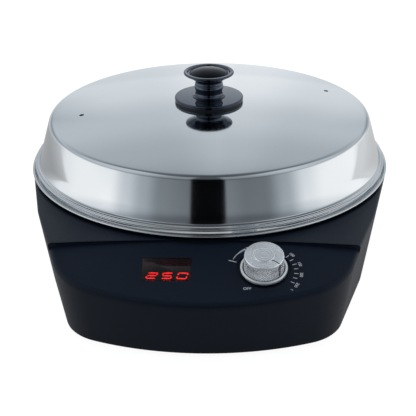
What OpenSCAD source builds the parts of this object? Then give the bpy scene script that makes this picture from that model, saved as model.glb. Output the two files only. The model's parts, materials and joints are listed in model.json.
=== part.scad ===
// Electric injera maker: a round hot plate in a low moulded body, under a lift-off steel lid

/* [Body] */
// Height of the flat deck round the hot plate
deck_z = 97; // [92:1:100]
// Gap that the rubber feet leave under the body
foot_gap = 5; // [4:0.5:7]
// Radius of the round back of the body
back_r = 217.5; // [216.5:0.5:219]
// How far the front of the body stands from the plate's axis
front_y = 312; // [308:1:316]
// Radius of the bowed front
front_r = 320; // [300:5:360]
// Radius of the two front corners
corner_r = 70; // [65:1:75]
// How far each front corner's centre stands to the side
corner_x = 95; // [90:1:100]
// How far the walls draw in from the deck to the bottom edge
taper = 14; // [10:0.5:16]
// Wall thickness of the moulding
wall = 3; // [2.5:0.5:3.5]
// Distance of the plate's axis behind the middle of the body
axis_y = 44.35; // [40:0.05:55]

/* [Control panel] */
// Slope of the control panel
slope = 15.5; // [12:0.5:18]
// Step down from the deck to the panel
panel_step = 2.5; // [1:0.5:3]
// Distance of the panel's back edge from the plate's axis
crease_y = 216; // [215.5:0.5:218]
// Radius of the bowed back edge of the panel
crease_r = 1460; // [1200:20:2000]
// Radius of the rounded edge between panel and walls
edge_r = 6; // [4:0.5:7]
// Sideways place of the temperature dial
dial_x = 64; // [60:1:68]
// Distance of the dial down the panel
dial_v = 40.5; // [38:0.5:44]
// Sideways place of the display window
window_x = -38; // [-42:1:-34]
// Distance of the window's middle down the panel
window_v = 42; // [40:0.5:45]
// Width of the display window
window_w = 52; // [48:1:54]
// Depth of the display window
window_d = 34; // [30:1:36]

/* [Hot plate] */
// Radius of the hot plate
plate_r = 203; // [202:0.5:203.5]
// Thickness of the hot plate
plate_t = 9; // [8:0.5:10]
// Diameter of the tubular heating element
element_d = 8; // [6.5:0.5:8.5]
// Radius of the element's outer loop
outer_loop_r = 152; // [145:1:160]
// Radius of the element's inner loop
inner_loop_r = 88; // [80:1:95]

/* [Lid] */
// Radius of the lid over its rolled rim
lid_r = 214.5; // [214:0.5:215]
// Radius of the steel ring over its bead
ring_r = 218; // [217:0.5:218.5]
// Radius of the lid at its shoulder
shoulder_r = 196; // [192:1:200]
// Height of the shoulder above the steel ring's lower edge
shoulder_h = 58; // [54:1:62]
// Height of the crown above the steel ring's lower edge
crown_h = 78.7; // [76:0.1:81]
// Thickness of the lid's sheet
lid_t = 1; // [0.8:0.1:1.2]
// Diameter of the knob's cap
cap_d = 60.6; // [56:0.2:64]
// Diameter of the disc under the knob
disc_d = 83; // [78:1:88]
// Thickness of the disc under the knob
disc_h = 4; // [3.5:0.1:5]
// Thickness of the gasket between disc and lid
gasket_h = 1.3; // [1:0.1:2]

/* [Dial] */
// Radius of the dial
dial_r = 21.2; // [20:0.1:21.4]
// Height of the dial above the panel
dial_h = 21; // [18:0.5:23]
// Radius of the bezel
bezel_r = 24.9; // [24.4:0.1:25.4]

/* [Hidden] */

// Fineness of the round parts
$fn = 96;
// Turn between two points of the body's outline
turn = 3;
// Heights that the rest is built from
base_z = foot_gap;
ring_z = deck_z + 2;
ledge_z = ring_z + 7.1;
plate_top = ring_z + 3;
plate_z = plate_top - plate_t;
crease_z = deck_z - panel_step;
// Rounded edges of the moulding, and how deep the panel's cap reaches
bottom_r = 3;
deck_edge_r = 4;
cap_depth = 160;
// Steel base plate, and the turned-in lip of the body round it
base_t = 2;
lip_w = 7;
lip_h = 3;
base_top = base_z + 0.5 + base_t;
// Round sides of the body between its back and its corners
side_x = 60;
side_y = 110;
side_r = 136;
corner_y = sqrt(pow(front_r - corner_r, 2) - pow(corner_x, 2)) - (front_r - front_y);
front_turn = asin(corner_x / (front_r - corner_r));
// Screws of the body, by the direction that the wall faces there
screw_turns = [12, 58, 122, 168, 215, 252, 288, 325];
screw_in = taper + lip_w + 7;
boss_r = 5;
// Feet and posts
foot_r = 13;
foot_turns = [230, 310, 135, 45];
foot_in = taper + lip_w + 34;
post_r = 6;
post_ring_r = 122;
element_z = plate_z - element_d / 2 - 0.02;
// Steel plate thickness of small pressed parts
sheet = 1;
// Steel ring: its strip, its bead, and the wall and foot of its gutter
strip_t = 1.2;
bead_r = 1.7;
ring_wall_r = 212.8;
gutter_r = 1.6;

// Point of the body's outline whose wall faces the direction a, drawn in by the given inset
function side_discs() = [
    [0, 0, back_r],
    [side_x, -side_y, side_r],
    [-side_x, -side_y, side_r],
    [corner_x, -corner_y, corner_r],
    [-corner_x, -corner_y, corner_r]];
function reach(d, a) = d[0] * cos(a) + d[1] * sin(a) + d[2];
function furthest(a, discs, i = 0, best = 0) =
    i == len(discs) ? discs[best]
    : furthest(a, discs, i + 1, reach(discs[i], a) > reach(discs[best], a) ? i : best);
function wall_point(a, inset) =
    let (d = abs(a - 270) < front_turn ? [0, front_r - front_y, front_r] : furthest(a, side_discs()))
    [d[0] + (d[2] - inset) * cos(a), d[1] + (d[2] - inset) * sin(a)];
function outline(inset) = [for (a = [0:turn:360 - turn]) wall_point(a, inset)];
// Inset of the sloping wall at a height
function wall_in(z) = taper * (deck_z - z) / (deck_z - base_z);
// Height of the panel's plane at a distance in front of the plate's axis
function panel_z(y) = crease_z + (y + crease_y) * tan(slope);
// Points of an arc round c, from angle a0 to a1
function arc(c, r, a0, a1, n = 8) =
    [for (i = [0:n]) let (a = a0 + (a1 - a0) * i / n) [c[0] + r * cos(a), c[1] + r * sin(a)]];

module in_frame() {
    translate([0, axis_y, 0]) children();
}

// Solid skinned over a stack of outlines that all have the same number of points
module loft(rings) {
    n = len(rings[0]);
    last = (len(rings) - 1) * n;
    polyhedron(
        points = [for (r = rings) each r],
        faces = concat(
            [[for (i = [0:n - 1]) i]],
            [[for (i = [n - 1:-1:0]) last + i]],
            [for (k = [0:len(rings) - 2], i = [0:n - 1])
                let (j = (i + 1) % n, low = k * n, high = low + n) each
                    [[low + i, high + i, high + j], [low + i, high + j, low + j]]]));
}

// Outline of the body at a height, drawn in by the wall's taper and an inset more
function ring_at(z, inset) = [for (p = outline(wall_in(z) + inset)) [p[0], p[1], z]];
// Depth below a rounded edge of radius r, and how far it draws in there
function edge_drop(r, t) = r * (1 - sin(t));
function edge_in(r, t) = r * (1 - cos(t));

// Local x runs across the panel, v down its slope, and z out of it
module on_panel(x = 0, v = 0, h = 0) {
    translate([0, -crease_y, crease_z]) rotate([slope, 0, 0]) translate([x, -v, h]) children();
}

module rounded_block(w, d, h, r) {
    linear_extrude(h) rounded_rect(w, d, r);
}

module rounded_rect(w, d, r) {
    square([w - 2 * r, d], center = true);
    square([w, d - 2 * r], center = true);
    for (x = [-1, 1], y = [-1, 1])
        translate([x * (w / 2 - r), y * (d / 2 - r)]) circle(r = r, $fn = 32);
}

module tube(r_out, r_in, h) {
    difference() {
        cylinder(r = r_out, h = h);
        translate([0, 0, -1]) cylinder(r = r_in, h = h + 2);
    }
}

// Machine screw with its head on top of z = 0 and its shank below
module pan_screw(r, length, head_r, head_h) {
    difference() {
        cylinder(r = head_r, h = head_h);
        translate([0, 0, head_h / 2]) cube([head_r * 1.3, 0.8, head_h + 0.01], center = true);
    }
    translate([0, 0, -length]) cylinder(r = r, h = length);
}

// Outer walls: they draw in towards the bottom, with rounded deck and bottom edges
module wall_solid() {
    loft(concat(
        [for (t = [90, 45, 0]) ring_at(base_z + edge_drop(bottom_r, t), edge_in(bottom_r, t))],
        [for (t = [0, 30, 60, 90]) ring_at(deck_z - edge_drop(deck_edge_r, t), edge_in(deck_edge_r, t))]));
}

// Point of the panel's edge, at a depth under the panel's plane
function panel_ring(depth, inset) = [for (a = [0:turn:360 - turn])
    let (y = wall_point(a, 0)[1], q = wall_point(a, wall_in(panel_z(y) - depth) + inset))
        [q[0], q[1], panel_z(q[1]) - depth]];

// Everything under the sloping panel, with the panel's rounded edge
module panel_cap() {
    loft(concat(
        [panel_ring(cap_depth, wall_in(deck_z - edge_r) - wall_in(deck_z - cap_depth) - 0.1)],
        [for (t = [0, 30, 60, 90]) panel_ring(edge_drop(edge_r, t), edge_in(edge_r, t) - 0.02)]));
}

module rear_region() {
    difference() {
        translate([-300, -crease_y - 60, -1]) cube([600, 600, 200]);
        translate([0, -crease_y - crease_r, -2]) cylinder(r = crease_r, h = 300, $fn = 720);
    }
}

module body_solid() {
    intersection() {
        wall_solid();
        union() {
            rear_region();
            panel_cap();
        }
    }
}

module body_cavity() {
    translate([0, 0, base_z - 1]) linear_extrude(lip_h + 1.01) polygon(outline(taper + lip_w));
    difference() {
        loft([ring_at(base_z + lip_h, wall), ring_at(deck_z - wall, wall + 1)]);
        on_panel(0, 0, -wall) translate([-300, -300, 0]) cube([600, 600, 200]);
    }
}

// Screw bosses with the ribs that tie them to the wall
module screw_bosses() {
    for (a = screw_turns) {
        p = wall_point(a, screw_in);
        translate([p[0], p[1], base_top]) cylinder(r = boss_r, h = 32);
        translate([p[0], p[1], base_top]) rotate(a) translate([0, -1.2, 0]) cube([20, 2.4, 32]);
    }
}

module panel_bosses() {
    for (p = display_screw_places())
        on_panel(p[0], p[1], -11) cylinder(r = 3.4, h = 11 - wall + 1, $fn = 48);
}

function display_screw_places() = [[-76, 14], [-76, 72], [30, 14], [30, 72]];

// Flat pad of the rear wall that carries the inlet
inlet_z = 46;
inlet_y = back_r - 5;
inlet_w = 27.6;
inlet_h = 20.6;

module inlet_pad() {
    translate([-34, inlet_y - 14, inlet_z - 19]) cube([68, 14, 38]);
}

// Moulded body: deck, panel and walls in one piece, with the rib that the steel ring caps
module housing() {
    color("#1c232b") difference() {
        union() {
            difference() {
                body_solid();
                body_cavity();
            }
            intersection() {
                body_solid();
                union() {
                    screw_bosses();
                    panel_bosses();
                }
            }
            translate([0, 0, deck_z - wall]) tube(210, 205.5, ledge_z - strip_t - deck_z + wall);
            inlet_pad();
            on_panel(dial_x, dial_v, -1) cylinder(r = 28.5, h = 1.8);
        }
        translate([0, 0, deck_z - wall - 5]) cylinder(r = 205.5, h = 40);
        for (a = screw_turns) {
            p = wall_point(a, screw_in);
            translate([p[0], p[1], base_top - 1]) cylinder(r = 1.7, h = 20, $fn = 32);
        }
        on_panel(dial_x, dial_v, -wall - 1) cylinder(r = 4.7, h = wall + 4, $fn = 48);
        on_panel(window_x, window_v, -2) rounded_block(window_w + 0.2, window_d + 0.2, 5, 2.1);
        on_panel(window_x, window_v, -wall - 2) rounded_block(window_w - 3, window_d - 5, 8, 1);
        for (p = display_screw_places())
            on_panel(p[0], p[1], -12) cylinder(r = 1.2, h = 7, $fn = 32);
        translate([-inlet_w / 2, inlet_y - 20, inlet_z - inlet_h / 2]) cube([inlet_w, 24, inlet_h]);
        for (x = [-20, 20])
            translate([x, inlet_y + 1, inlet_z]) rotate([90, 0, 0]) cylinder(r = 1.3, h = 11, $fn = 32);
    }
}

// Pressed steel bottom with rows of cooling slots
module base_plate() {
    color("#3a3f45") difference() {
        translate([0, 0, base_z + 0.5]) linear_extrude(base_t) polygon(outline(taper + lip_w + 0.3));
        for (side = [-1, 1], row = [-6:6])
            translate([side * 60, -20 + row * 9, 0]) slot_cutter(56, 3.4);
        for (a = screw_turns) {
            p = wall_point(a, screw_in);
            translate([p[0], p[1], 0]) cylinder(r = 2.1, h = 20, $fn = 32);
        }
        for (a = foot_turns) {
            p = wall_point(a, foot_in);
            translate([p[0], p[1], 0]) cylinder(r = 2.2, h = 20, $fn = 32);
        }
        for (i = [0:3])
            rotate(45 + 90 * i) translate([post_ring_r, 0, 0]) cylinder(r = 2.7, h = 20, $fn = 32);
        for (p = pillar_places())
            translate([p[0], p[1], 0]) cylinder(r = 1.7, h = 20, $fn = 32);
    }
}

module slot_cutter(length, w) {
    translate([-length / 2 + w / 2, -w / 2, 0]) cube([length - w, w, 20]);
    for (s = [-1, 1])
        translate([s * (length - w) / 2, 0, 0]) cylinder(d = w, h = 20, $fn = 24);
}

// Moulded rubber foot with a sunk screw hole
module foot(a) {
    p = wall_point(a, foot_in);
    color("#141414") translate([p[0], p[1], 0]) difference() {
        union() {
            cylinder(r1 = foot_r - 1.5, r2 = foot_r, h = 1.5);
            translate([0, 0, 1.5]) cylinder(r = foot_r, h = base_z + 0.5 - 1.5);
        }
        translate([0, 0, -1]) cylinder(r = 5.5, h = 3.4);
        translate([0, 0, 1]) cylinder(r = 2.3, h = 20);
    }
}

module foot_screws() {
    color("silver") for (a = foot_turns) {
        p = wall_point(a, foot_in);
        translate([p[0], p[1], 2.4]) rotate([180, 0, 0]) pan_screw(2, base_top + 3 - 2.4, 4, 1.6);
        translate([p[0], p[1], base_top]) difference() {
            cylinder(r = 4, h = 3.2, $fn = 6);
            translate([0, 0, -1]) cylinder(r = 1.99, h = 6, $fn = 32);
        }
    }
}

module housing_screws() {
    color("silver") for (a = screw_turns) {
        p = wall_point(a, screw_in);
        translate([p[0], p[1], base_z + 0.5]) rotate([180, 0, 0]) pan_screw(1.6, 16, 3.6, 2);
    }
}

// Steel tubes that carry the hot plate over the base
module support_posts() {
    color("#b8bcc0") for (i = [0:3])
        rotate(45 + 90 * i) translate([post_ring_r, 0, base_top])
            tube(post_r, 2.8, plate_z - 5 - base_top);
}

module post_bolts() {
    color("#9aa0a6") for (i = [0:3])
        rotate(45 + 90 * i) translate([post_ring_r, 0, base_z + 0.5]) rotate([180, 0, 0])
            pan_screw(2.5, plate_z + 2 - base_z - 0.5, 4.4, 2.6);
}

// Pressed dish that turns the element's heat upwards
module heat_shield() {
    color("#c4c8cc") difference() {
        rotate_extrude() polygon([
            [0, plate_z - 24], [158, plate_z - 24], [190, plate_z - sheet], [202, plate_z - sheet],
            [202, plate_z], [189.6, plate_z], [157.6, plate_z - 24 + sheet], [0, plate_z - 24 + sheet]]);
        for (i = [0:3])
            rotate(45 + 90 * i) translate([post_ring_r, 0, 0]) cylinder(r = post_r + 0.4, h = 200);
        lead_holes();
        cylinder(r = 9, h = 200);
    }
}

// Stiff ceramic fibre board in the dish
module insulation_board() {
    color("#e8e4d8") difference() {
        translate([0, 0, plate_z - 24 + sheet]) cylinder(r = 148, h = 8);
        for (i = [0:3])
            rotate(45 + 90 * i) translate([post_ring_r, 0, 0]) cylinder(r = post_r + 1, h = 200);
        lead_holes();
        cylinder(r = 12, h = 200);
    }
}

// Cast aluminium plate, flat on top, with cast bosses and element lands below
module griddle_plate() {
    color("#2a2b2d") difference() {
        union() {
            rotate_extrude() polygon(concat(
                [[0, plate_z], [plate_r - 1, plate_z], [plate_r, plate_z + 1]],
                [[plate_r, plate_top - 1.5], [plate_r - 3, plate_top - 1.5], [plate_r - 4, plate_top]],
                [[0, plate_top]]));
            for (i = [0:3])
                rotate(45 + 90 * i) translate([post_ring_r, 0, plate_z - 5]) cylinder(r = 9, h = 6);
            for (a = clamp_turns(), r = [outer_loop_r, inner_loop_r], s = [-1, 1])
                rotate(a) translate([r + s * 11, 0, plate_z - 4]) cylinder(r = 4, h = 5);
        }
        for (i = [0:3])
            rotate(45 + 90 * i) translate([post_ring_r, 0, plate_z - 6]) cylinder(r = 2.6, h = 9);
        for (a = clamp_turns(), r = [outer_loop_r, inner_loop_r], s = [-1, 1])
            rotate(a) translate([r + s * 11, 0, plate_z - 5]) cylinder(r = 1.6, h = 9, $fn = 32);
    }
}

function clamp_turns() = [0, 90, 180];

// Turn from the front to where each heating element starts, and its leads
outer_start = 12;
inner_start = 21;
lead_bend_r = 14;
lead_length = 22;
pin_length = 10;

// Tubular element: one open loop with both leads turned down at the front
module heating_loop(r, start) {
    color("#7d8084") translate([0, 0, element_z]) {
        tube_arc(r, start - 90, 270 - start);
        for (m = [0, 1])
            mirror([m, 0, 0]) lead(r, start - 90);
    }
}

module tube_arc(r, a0, a1) {
    rotate(a0) rotate_extrude(angle = a1 - a0) translate([r, 0]) circle(d = element_d, $fn = 32);
}

// Lead that turns down from a loop's start and ends in a plain pin
module lead(r, a) {
    rotate(a) translate([r, 0, -lead_bend_r]) {
        rotate(a = 180, v = [1, 0, 1]) tube_arc(lead_bend_r, 0, 90);
        translate([0, -lead_bend_r, -lead_length]) cylinder(d = element_d, h = lead_length, $fn = 32);
        translate([0, -lead_bend_r, -lead_length - pin_length]) cylinder(r = 1.8, h = pin_length, $fn = 32);
    }
}

// Hole in the layers under the elements for each of their leads
module lead_holes() {
    for (p = [[outer_loop_r, outer_start - 90], [inner_loop_r, inner_start - 90]], m = [0, 1])
        mirror([m, 0, 0]) rotate(p[1]) translate([p[0], -lead_bend_r, 0])
            cylinder(r = element_d / 2 + 2, h = 200, $fn = 48);
}

// Saddle clamps that hold the loops against the plate
module element_clamps() {
    color("#aeb2b6") for (a = clamp_turns(), r = [outer_loop_r, inner_loop_r])
        rotate(a) translate([r, 0, plate_z - 4]) saddle();
}

module saddle() {
    saddle_r = element_d / 2 + 0.02;
    difference() {
        union() {
            for (s = [-1, 1])
                translate([s * 11, 0, -sheet]) cylinder(r = 4, h = sheet);
            translate([-11, -4, -sheet]) cube([22, 8, sheet]);
            translate([-6, -4, -5 - sheet]) cube([12, 8, 6]);
        }
        translate([0, 0, element_z - plate_z + 4]) rotate([90, 0, 0])
            cylinder(r = saddle_r, h = 20, center = true, $fn = 32);
        translate([-saddle_r, -10, element_z - plate_z + 4]) cube([2 * saddle_r, 20, 20]);
        for (s = [-1, 1])
            translate([s * 11, 0, -2]) cylinder(r = 1.8, h = 4, $fn = 32);
    }
}

module clamp_screws() {
    color("silver") for (a = clamp_turns(), r = [outer_loop_r, inner_loop_r], s = [-1, 1])
        rotate(a) translate([r + s * 11, 0, plate_z - 4 - sheet]) rotate([180, 0, 0])
            pan_screw(1.5, 7, 3, 1.6);
}

// Sensor capsule pressed to the middle of the plate, and the bracket that holds it
module temperature_probe() {
    color("#d0d2d4") {
        translate([0, 0, plate_z - 8]) cylinder(r = 5, h = 8);
        translate([0, 0, plate_z - 23]) cylinder(r = 3, h = 15.01);
    }
}

module probe_bracket() {
    color("#9da1a5") translate([0, 0, plate_z - 24 - sheet]) difference() {
        union() {
            translate([-22, -7, 0]) cube([44, 14, sheet]);
            cylinder(r = 6, h = sheet + 5);
        }
        translate([0, 0, sheet + 1]) cylinder(r = 3.05, h = 10);
        translate([0, 0, -1]) cylinder(r = 1.5, h = 10, $fn = 32);
    }
}

// Round safety thermostat under the plate
module thermal_cutout() {
    color("#c9c5b8") translate([60, 20, plate_z]) {
        translate([0, 0, -3]) cylinder(r = 9, h = 3);
        translate([0, 0, -11]) cylinder(r = 7.5, h = 8.01);
        for (s = [-1, 1])
            translate([s * 4 - 0.4, -2.5, -15]) cube([0.8, 5, 4.01]);
    }
}

// Formed steel ring that caps the body's rib and carries the lid, with a gutter and a beaded edge
module trim_ring() {
    bead = [ring_r - bead_r, ring_z + 2];
    gutter = [ring_wall_r + gutter_r, ring_z + 3.2];
    edge = [ring_wall_r - strip_t, ledge_z - strip_t];
    color("#c8ccd0") rotate_extrude() polygon(concat(
        [[200.6, plate_top - 1.5], [205.2, plate_top - 1.5], [205.2, edge[1]], edge],
        arc(gutter, gutter_r + strip_t, 180, 250, 4),
        arc(bead, bead_r, 240, 500, 13),
        arc(gutter, gutter_r, 255, 180, 4),
        arc(edge, strip_t, 0, 90, 4),
        arc([205.6, ledge_z - 1.6], 1.6, 90, 180, 5),
        [[204, plate_top - 0.5], [200.6, plate_top - 0.5]]));
}

// Appliance inlet with its flange
module inlet_socket() {
    color("#17191b") translate([0, inlet_y, inlet_z]) rotate([-90, 0, 0]) difference() {
        union() {
            rounded_block(50, 26, 3, 4);
            translate([0, 0, -20]) rounded_block(27.2, 20.2, 21, 2);
        }
        translate([0, 0, -14]) rounded_block(24, 17, 20, 3);
        for (x = [-20, 20])
            translate([x, 0, -1]) {
                cylinder(r = 1.7, h = 6, $fn = 32);
                translate([0, 0, 2.2]) cylinder(r1 = 1.7, r2 = 3.6, h = 1.9, $fn = 32);
            }
        for (p = pin_places())
            translate([p[0] - 1.1, p[1] - 2.1, -30]) cube([2.2, 4.2, 20]);
    }
}

function pin_places() = [[-7, 2], [0, -2], [7, 2]];

module inlet_pins() {
    color("#d8c9a0") translate([0, inlet_y, inlet_z]) rotate([-90, 0, 0])
        for (p = pin_places())
            translate([p[0] - 1, p[1] - 2, -27]) cube([2, 4, 27]);
}

module inlet_screws() {
    color("silver") for (x = [-20, 20])
        translate([x, inlet_y, inlet_z]) rotate([-90, 0, 0]) difference() {
            union() {
                translate([0, 0, 1.25]) cylinder(r1 = 1.6, r2 = 3.4, h = 1.75, $fn = 32);
                translate([0, 0, -8]) cylinder(r = 1.25, h = 9.5, $fn = 32);
            }
            for (a = [0, 90])
                rotate(a) translate([0, 0, 3]) cube([3.4, 0.8, 1.6], center = true);
        }
}

// Power board low in the front of the body
board_x = 0;
board_y = -238;
board_z = base_top + 8;
function pillar_places() = [for (x = [-52, 52], y = [-26, 26]) [board_x + x, board_y + y]];

module power_board() {
    color("#2e6b3e") translate([board_x, board_y, board_z]) difference() {
        translate([-58, -32, 0]) cube([116, 64, 1.6]);
        for (x = [-52, 52], y = [-26, 26])
            translate([x, y, -1]) cylinder(r = 1.7, h = 4, $fn = 32);
    }
}

module power_relay() {
    color("#2256a0") translate([board_x + 26, board_y + 6, board_z + 1.6])
        rounded_block(29, 16, 20, 1);
}

module transformer() {
    color("#c9a227") translate([board_x - 22, board_y, board_z + 1.6]) {
        translate([-16, -14, 0]) cube([32, 28, 6]);
        translate([-10, -10, 6]) cube([20, 20, 14]);
        difference() {
            translate([-18, -6, 6]) cube([36, 12, 18]);
            translate([-10.01, -7, 6]) cube([20.02, 14, 14.01]);
        }
    }
}

module terminal_block() {
    color("#3f8f5c") translate([board_x + 4, board_y + 21, board_z + 1.6]) difference() {
        translate([-15, -5, 0]) cube([30, 10, 12]);
        for (i = [-1:1])
            translate([i * 9, 0, 4]) cylinder(r = 2.2, h = 10, $fn = 32);
        for (i = [-1:1])
            translate([i * 9 - 2, 2, 1.5]) cube([4, 6, 4]);
    }
}

module board_pillars() {
    color("silver") for (p = pillar_places())
        translate([p[0], p[1], base_top]) tube(3, 1.65, board_z - base_top);
}

module board_screws() {
    color("#8a8f94") for (p = pillar_places()) {
        translate([p[0], p[1], base_z + 0.5]) rotate([180, 0, 0])
            pan_screw(1.5, board_z + 5 - base_z, 2.8, 1.6);
        translate([p[0], p[1], board_z + 1.6]) difference() {
            cylinder(r = 3, h = 2.4, $fn = 6);
            translate([0, 0, -1]) cylinder(r = 1.49, h = 5, $fn = 32);
        }
    }
}

// Display board under the panel, with its digit module showing through the window
module display_board() {
    color("#2e6b3e") on_panel(0, 0, -12.6) difference() {
        translate([-82, -78, 0]) cube([122, 70, 1.6]);
        for (p = display_screw_places())
            translate([p[0], -p[1], -1]) cylinder(r = 1.5, h = 4, $fn = 32);
    }
}

module display_screws() {
    color("silver") for (p = display_screw_places())
        on_panel(p[0], p[1], -12.6) rotate([180, 0, 0]) pan_screw(1.15, 6, 2.4, 1.4);
}

module display_module() {
    color("#101010") on_panel(window_x, window_v, -11) difference() {
        rounded_block(window_w - 4, window_d - 6, 7.6, 0.5);
        translate([0, 0, 7]) figures(1);
    }
}

// Three slanted figures, from where the first one's foot stands: a plain 250
figure_at = [-21.5, -11.9];
figure_w = 11.4;
figure_h = 9.4;
figure_pitch = 15.8;
figure_lean = 14;
bar_t = 1.7;
// Middle of each of a figure's seven bars, and whether it stands upright
bars = [
    [figure_w / 2, figure_h - bar_t / 2, false],
    [figure_w / 2, figure_h / 2, false],
    [figure_w / 2, bar_t / 2, false],
    [bar_t / 2, figure_h * 0.75, true],
    [figure_w - bar_t / 2, figure_h * 0.75, true],
    [bar_t / 2, figure_h * 0.25, true],
    [figure_w - bar_t / 2, figure_h * 0.25, true]];
// Bars that are lit in each place
lit_bars = [[0, 1, 2, 4, 5], [0, 1, 2, 3, 6], [0, 2, 3, 4, 5, 6]];

// Outline of a bar with pointed ends, before the slant
function bar_outline(b) =
    let (l = ((b[2] ? figure_h / 2 : figure_w) - bar_t - 0.5) / 2, t = bar_t / 2,
        points = [[-l, 0], [-l + t, t], [l - t, t], [l, 0], [l - t, -t], [-l + t, -t]])
    [for (p = points) [b[0] + (b[2] ? -p[1] : p[0]), b[1] + (b[2] ? p[0] : p[1])]];

module figures(h) {
    for (place = [0:2], i = lit_bars[place])
        linear_extrude(h) polygon([for (p = bar_outline(bars[i]))
            figure_at + [p[0] + p[1] * tan(figure_lean) + place * figure_pitch, p[1]]]);
}

module display_digits() {
    color("#e03020") on_panel(window_x, window_v, -11) translate([0, 0, 7]) figures(0.6);
}

module display_window() {
    color("#30090a", 0.8) on_panel(window_x, window_v, -2)
        rounded_block(window_w, window_d, 2, 2);
}

// Rotary control behind the dial: body under the panel, threaded bush through it
module dial_control() {
    color("#8c9094") on_panel(dial_x, dial_v) difference() {
        union() {
            translate([0, 0, -wall - 9]) cylinder(r = 8.5, h = 9);
            translate([0, 0, -wall - 0.01]) cylinder(r = 4.5, h = wall + 6);
            translate([-6, -14, -wall - 8]) cube([12, 8, 2]);
        }
        translate([0, 0, -wall - 7]) cylinder(r = 3.05, h = 40);
    }
}

module control_nut() {
    color("#a8acb0") on_panel(dial_x, dial_v, 0.8) {
        tube(7, 4.55, 0.8);
        translate([0, 0, 0.8]) difference() {
            cylinder(r = 6.4, h = 2.6, $fn = 6);
            translate([0, 0, -1]) cylinder(r = 4.55, h = 6);
        }
    }
}

module dial_shaft() {
    color("#c0c4c8") on_panel(dial_x, dial_v, -wall - 6.6) difference() {
        cylinder(r = 3, h = dial_h - 3.1 + wall + 6.6);
        translate([-4, 1.6, 14]) cube([8, 4, 20]);
    }
}

// Bright ring round the dial
module dial_bezel() {
    color("#d4d8dc") on_panel(dial_x, dial_v, 0.8) rotate_extrude() polygon(concat(
        [[22.4, 0], [bezel_r, 0], [bezel_r, 1.6]],
        arc([bezel_r - 1.5, 1.6], 1.5, 10, 110, 6),
        [[22.4, 2.6]]));
}

// Turned aluminium dial with a raised centre, open underneath; its pointer line stands at pointer_turn
pointer_turn = 130;
module temperature_dial() {
    color("#c9ced3") on_panel(dial_x, dial_v) difference() {
        union() {
            rotate_extrude() polygon(concat(
                [[8.6, 1.4], [dial_r, 1.4], [dial_r - 0.4, dial_h - 2.6]],
                arc([dial_r - 1.8, dial_h - 2.2], 1.4, 0, 80, 5),
                [[11.8, dial_h - 1], [11.3, dial_h - 1.6], [10.9, dial_h - 1], [10.2, dial_h - 0.4]],
                [[0, dial_h], [0, dial_h - 2.9], [8.6, dial_h - 3.4]]));
            translate([0, 0, 7]) tube(6, 3.02, dial_h - 10);
        }
        rotate(-pointer_turn) translate([0, 16.5, dial_h - 0.9]) cube([1.2, 11, 1], center = true);
    }
}

// Low crown: a large sphere that falls by crown_rise over crown_span, and meets the shoulder's bend
bend_rise = 5.4;
crown_rise = crown_h - shoulder_h - bend_rise;
crown_span = shoulder_r - 8;
crown_r = (crown_span * crown_span + crown_rise * crown_rise) / (2 * crown_rise);
crown_step = crown_span / 10;
function crown_fall(x) = crown_r - sqrt(crown_r * crown_r - x * x);
function crown_arc(drop) =
    [for (i = [0:10]) let (x = crown_step * i) [x, ring_z + crown_h - drop - crown_fall(x)]];
// Bends of the lid from its shoulder to its rim, all on the sheet's outer face
lid_lean = 15.95;
shoulder_bend = 7.2;
shoulder_centre = [shoulder_r - 7.6, ring_z + shoulder_h - 2];
fillet_r = 7.6;
fillet_centre = [lid_r - 0.4, ring_z + 19.9];
rim_r = 2.5;
rim_centre = [lid_r - rim_r, ring_z + 10];
// Distance from the axis and turn of each steam hole
vents = [[155, 190], [160, 23.5]];

// Spun steel lid with a rolled rim and two steam holes
module lid_shell() {
    color("#d6dade") difference() {
        rotate_extrude() polygon(concat(
            crown_arc(0),
            arc(shoulder_centre, shoulder_bend, 78, lid_lean, 6),
            arc(fillet_centre, fillet_r, 180 + lid_lean, 255, 6),
            arc(rim_centre, rim_r, 75, -190, 14),
            arc(fillet_centre, fillet_r + lid_t, 240, 180 + lid_lean, 4),
            arc(shoulder_centre, shoulder_bend - lid_t, lid_lean, 78, 6),
            [for (i = [10:-1:0]) crown_arc(lid_t)[i]]));
        translate([0, 0, ring_z]) cylinder(r = 3.2, h = 100, $fn = 32);
        for (v = vents)
            rotate(v[1]) translate([v[0], 0, ring_z + 40]) cylinder(r = 2.9, h = 60, $fn = 32);
    }
}

// Stack on the crown: a soft gasket that follows it, a stiff disc, and the knob
disc_z = ring_z + crown_h;
knob_z = disc_z + gasket_h + disc_h;
gasket_r = disc_d / 2 - 0.4;
stack_hole_r = 3.2;

// Fall of the crown's facets at a distance from the axis
function skin_fall(x) =
    let (i = floor(x / crown_step), a = crown_fall(i * crown_step), b = crown_fall((i + 1) * crown_step))
    a + (b - a) * (x / crown_step - i);

module knob_lower_disc() {
    color("#0d0e10") translate([0, 0, disc_z]) difference() {
        rotate_extrude() polygon(concat(
            [for (x = [0, crown_step, 2 * crown_step, gasket_r]) [x, -skin_fall(x)]],
            [[gasket_r, gasket_h], [0, gasket_h]]));
        translate([0, 0, -2]) cylinder(r = stack_hole_r, h = gasket_h + 4, $fn = 32);
    }
}

module knob_upper_disc() {
    r = disc_d / 2;
    color("#0d0e10") translate([0, 0, disc_z + gasket_h]) difference() {
        rotate_extrude() polygon([
            [0, 0], [r - 0.8, 0], [r, 0.8], [r, disc_h - 1], [r - 1.4, disc_h], [0, disc_h]]);
        translate([0, 0, -1]) cylinder(r = stack_hole_r, h = disc_h + 2, $fn = 32);
    }
}

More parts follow.
